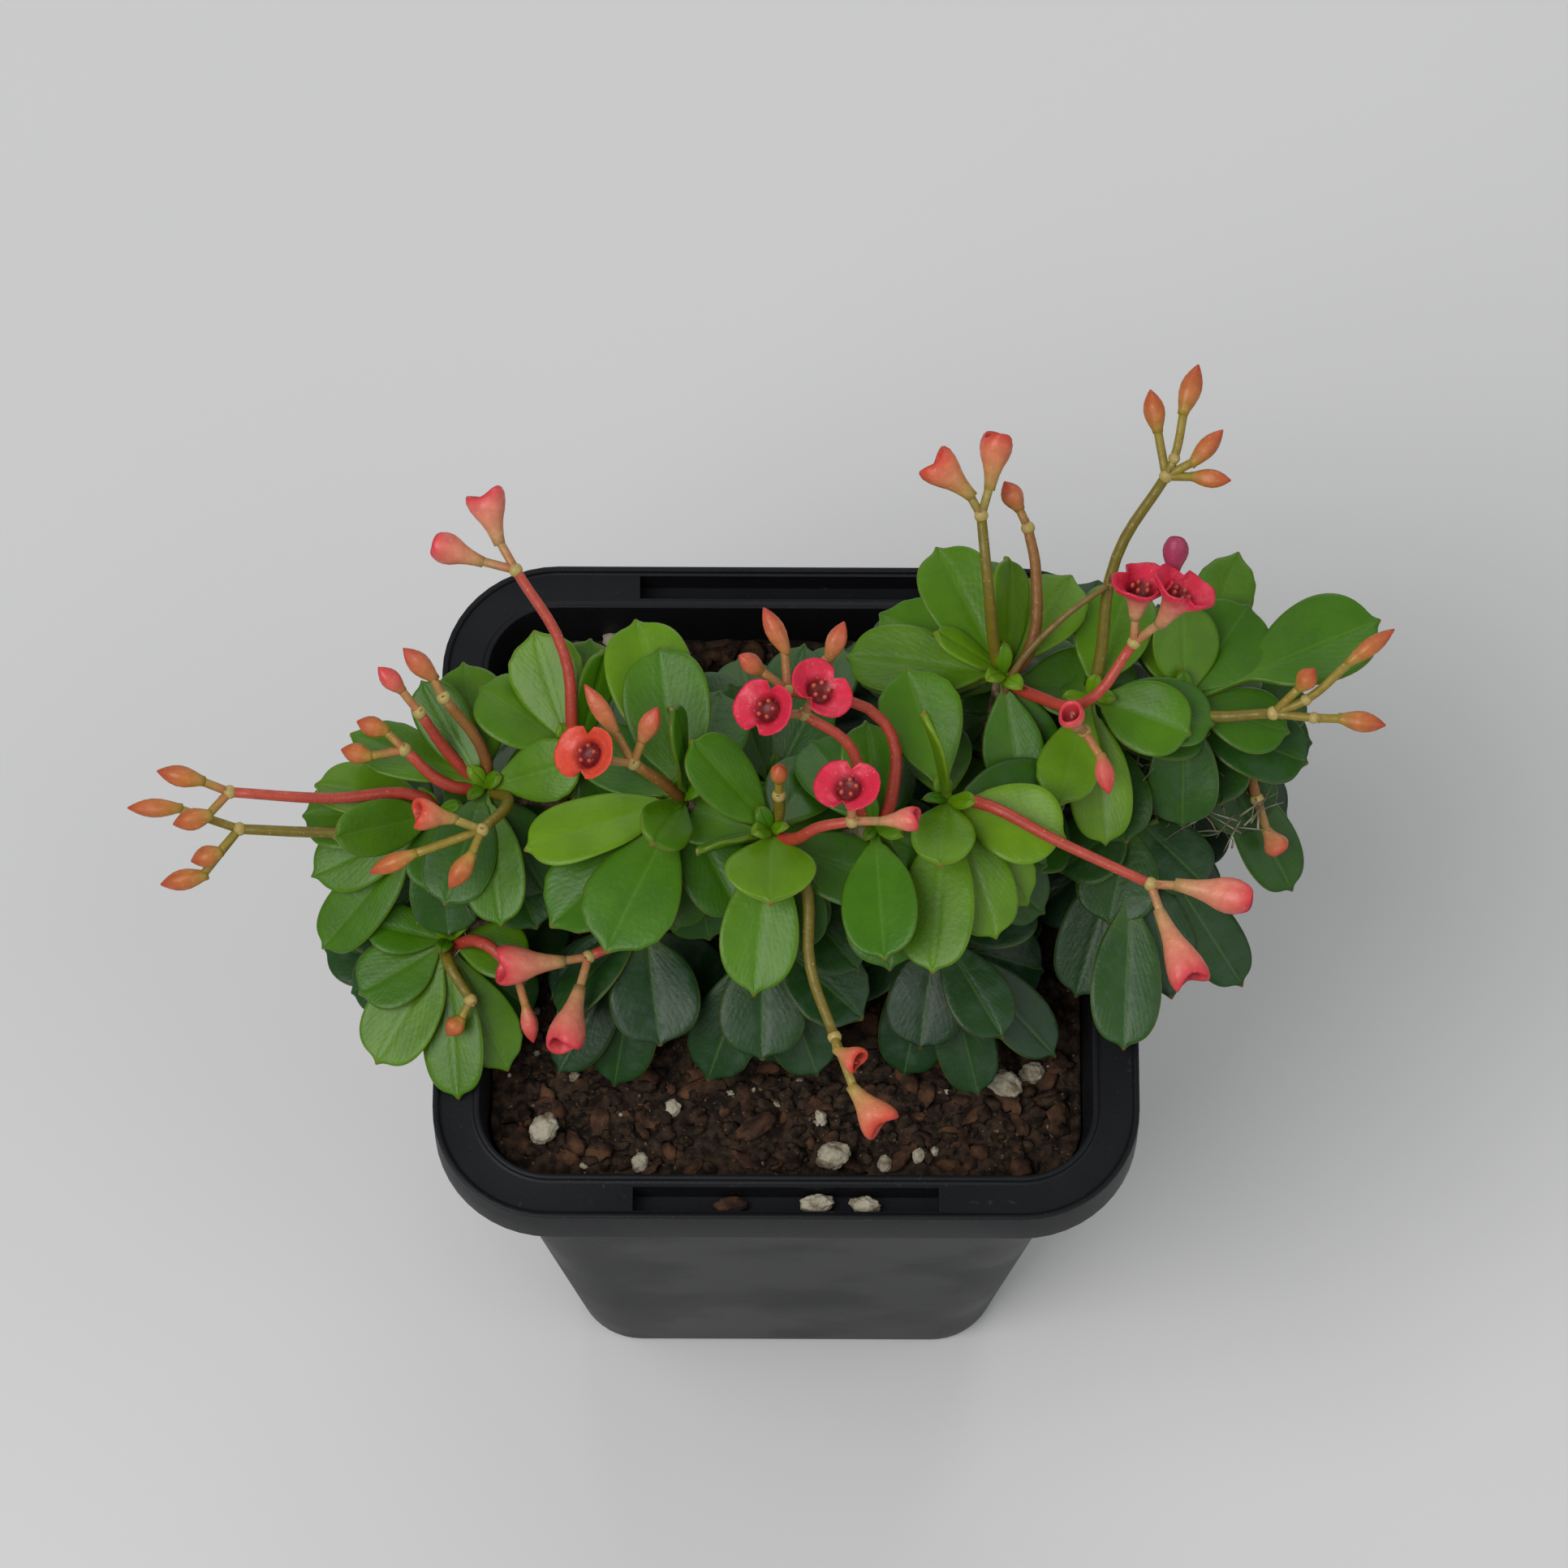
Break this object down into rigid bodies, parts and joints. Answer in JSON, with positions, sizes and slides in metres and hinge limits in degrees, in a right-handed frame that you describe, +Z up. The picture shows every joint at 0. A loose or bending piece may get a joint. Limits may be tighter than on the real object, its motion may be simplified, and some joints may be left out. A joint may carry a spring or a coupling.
{
  "type": "potted euphorbia",
  "caption": "Low branching succulent with spoon-shaped green leaves and coral-red flower stalks, growing in a square black nursery pot.",
  "frame": {"origin": "centre of the pot's base, on the surface it stands on", "axes": "+Z up; the plant's front faces -Y; its widest spread lies along X, with +X to the right seen from the front"},
  "size_m": [0.159, 0.094, 0.1546],
  "materials": {
    "pot": "satin",
    "potting_mix": "matte",
    "stem": "matte",
    "leaf": "satin",
    "coral_flower": "satin",
    "olive_stalk": "satin",
    "brown_stalk": "satin",
    "perlite": "matte",
    "bark": "matte"
  },
  "bodies": {
    "root": {"bark_chip_1": "bark", "bark_chip_2": "bark", "bark_chip_3": "bark", "flower_stalk_01": "coral_flower", "flower_stalk_02": "olive_stalk", "flower_stalk_03": "olive_stalk", "flower_stalk_04": "brown_stalk", "flower_stalk_05": "coral_flower", "flower_stalk_06": "coral_flower", "flower_stalk_07": "coral_flower", "flower_stalk_08": "brown_stalk", "flower_stalk_09": "coral_flower", "flower_stalk_10": "coral_flower", "flower_stalk_11": "coral_flower", "flower_stalk_12": "coral_flower", "flower_stalk_13": "olive_stalk", "flower_stalk_14": "coral_flower", "flower_stalk_15": "coral_flower", "flower_stalk_16": "olive_stalk", "flower_stalk_17": "olive_stalk", "flower_stalk_18": "brown_stalk", "flower_stalk_19": "olive_stalk", "flower_stalk_20": "coral_flower", "flower_stalk_21": "coral_flower", "flower_stalk_22": "olive_stalk", "flower_stalk_23": "olive_stalk", "flower_stalk_24": "brown_stalk", "perlite_grain_1": "perlite", "perlite_grain_2": "perlite", "perlite_grain_3": "perlite", "perlite_grain_4": "perlite", "perlite_grain_5": "perlite", "pot": "pot", "potting_mix": "potting_mix", "rosette_back_corner": "leaf", "rosette_back_east": "leaf", "rosette_back_middle": "leaf", "rosette_back_west": "leaf", "rosette_centre_east": "leaf", "rosette_east": "leaf", "rosette_far_east": "leaf", "rosette_front": "leaf", "rosette_front_east": "leaf", "rosette_front_west": "leaf", "rosette_low_east": "leaf", "rosette_middle": "leaf", "rosette_middle_east": "leaf", "rosette_middle_west": "leaf", "rosette_north": "leaf", "rosette_north_east": "leaf", "rosette_north_west": "leaf", "rosette_south_east": "leaf", "rosette_south_west": "leaf", "rosette_west": "leaf", "stem_east": "stem", "stem_middle": "stem", "stem_west": "stem"}
  },
  "joints": []
}
